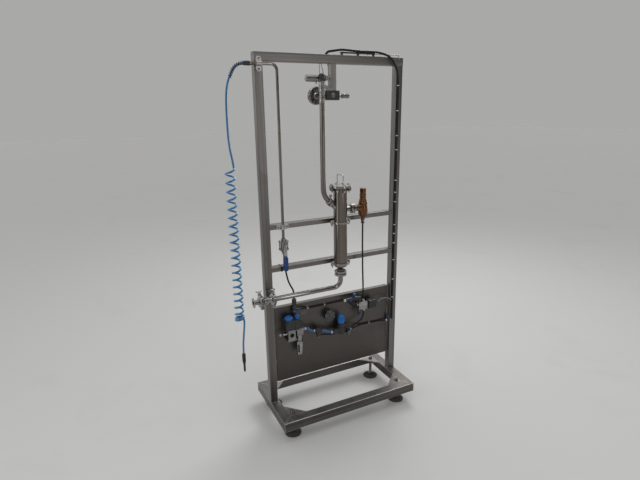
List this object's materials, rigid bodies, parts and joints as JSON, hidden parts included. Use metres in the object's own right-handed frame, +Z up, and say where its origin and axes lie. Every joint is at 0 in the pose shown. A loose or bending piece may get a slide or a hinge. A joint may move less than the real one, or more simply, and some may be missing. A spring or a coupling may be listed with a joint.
{
  "type": "tubular heat exchanger on a stand",
  "caption": "Upright tubular heat exchanger on a welded stainless stand, with process pipes, safety valve, panel-mounted air controls and a spiral air hose.",
  "frame": {"origin": "bottom centre of the box around the part without its air hose, on the floor under the levelling feet", "axes": "+X along the stand to the right as seen from the side with the pipework, +Y towards the back, +Z up"},
  "size_m": [0.969, 0.424, 1.9324],
  "materials": {
    "stainless_steel": "satin welded square tube",
    "polished_steel": "polished pipe and fittings",
    "panel_steel": "dull brushed sheet",
    "plated_steel": "plated fittings",
    "bronze": "cast, dull",
    "black_rubber": "matte",
    "black_hose": "matte sheath",
    "black_plastic": "moulded",
    "grey_plastic": "moulded",
    "blue_plastic": "moulded",
    "blue_hose": "polyurethane"
  },
  "bodies": {
    "stand": {"air_tube": "polished_steel", "back_panel": "panel_steel", "ball_valve_body": "plated_steel", "base_long_beams": "stainless_steel", "base_short_beams": "stainless_steel", "beam_wires": "plated_steel", "blue_tubes": "blue_hose", "cable_bundle": "black_hose", "cable_strip": "black_plastic", "coil_cable": "grey_plastic", "corner_plates": "stainless_steel", "cover_handle": "polished_steel", "feed_hose": "black_hose", "filter_bowl": "grey_plastic", "filter_head": "plated_steel", "flow_body": "black_plastic", "foot_pads": "black_rubber", "foot_spindles": "plated_steel", "gauges": "black_plastic", "hanger": "stainless_steel", "hanger_plate": "stainless_steel", "hose_coil": "blue_hose", "hose_end": "black_plastic", "hose_lower": "blue_hose", "hose_relief": "black_hose", "hose_upper": "blue_hose", "lower_head": "polished_steel", "outlet_body": "polished_steel", "outlet_clamps": "polished_steel", "outlet_ferrule": "polished_steel", "outlet_union": "polished_steel", "panel_hoses": "black_hose", "pipe_holder": "stainless_steel", "plug_connector": "plated_steel", "posts": "stainless_steel", "product_pipe": "polished_steel", "push_fittings": "black_plastic", "rails": "stainless_steel", "regulator_body": "black_plastic", "relief_hose": "black_hose", "riser_pipe": "polished_steel", "riser_tee": "polished_steel", "safety_valve": "bronze", "sensor_housing": "polished_steel", "sensor_knob": "black_plastic", "service_caps": "blue_plastic", "service_unit": "black_plastic", "shell": "polished_steel", "shell_clamps": "polished_steel", "shell_union": "polished_steel", "solenoid_coil": "black_plastic", "solenoid_valve": "plated_steel", "top_beam": "stainless_steel", "top_cover": "polished_steel", "tube_clips": "stainless_steel", "valve_fittings": "polished_steel"},
    "valve_lever": {"ball_valve_lever": "blue_plastic"},
    "setting_knob": {"regulator_knob": "blue_plastic"}
  },
  "joints": [
    {"name": "lever_turn", "type": "hinge", "parent": "stand", "child": "valve_lever", "pos_m": [-0.255, -0.045, 1.001], "axis": [0, -1, 0], "range_deg": [0, 90]},
    {"name": "knob_turn", "type": "hinge", "parent": "stand", "child": "setting_knob", "pos_m": [0.066, -0.03, 0.5093], "axis": [0, 0, 1], "range_deg": [-720, 720]}
  ]
}
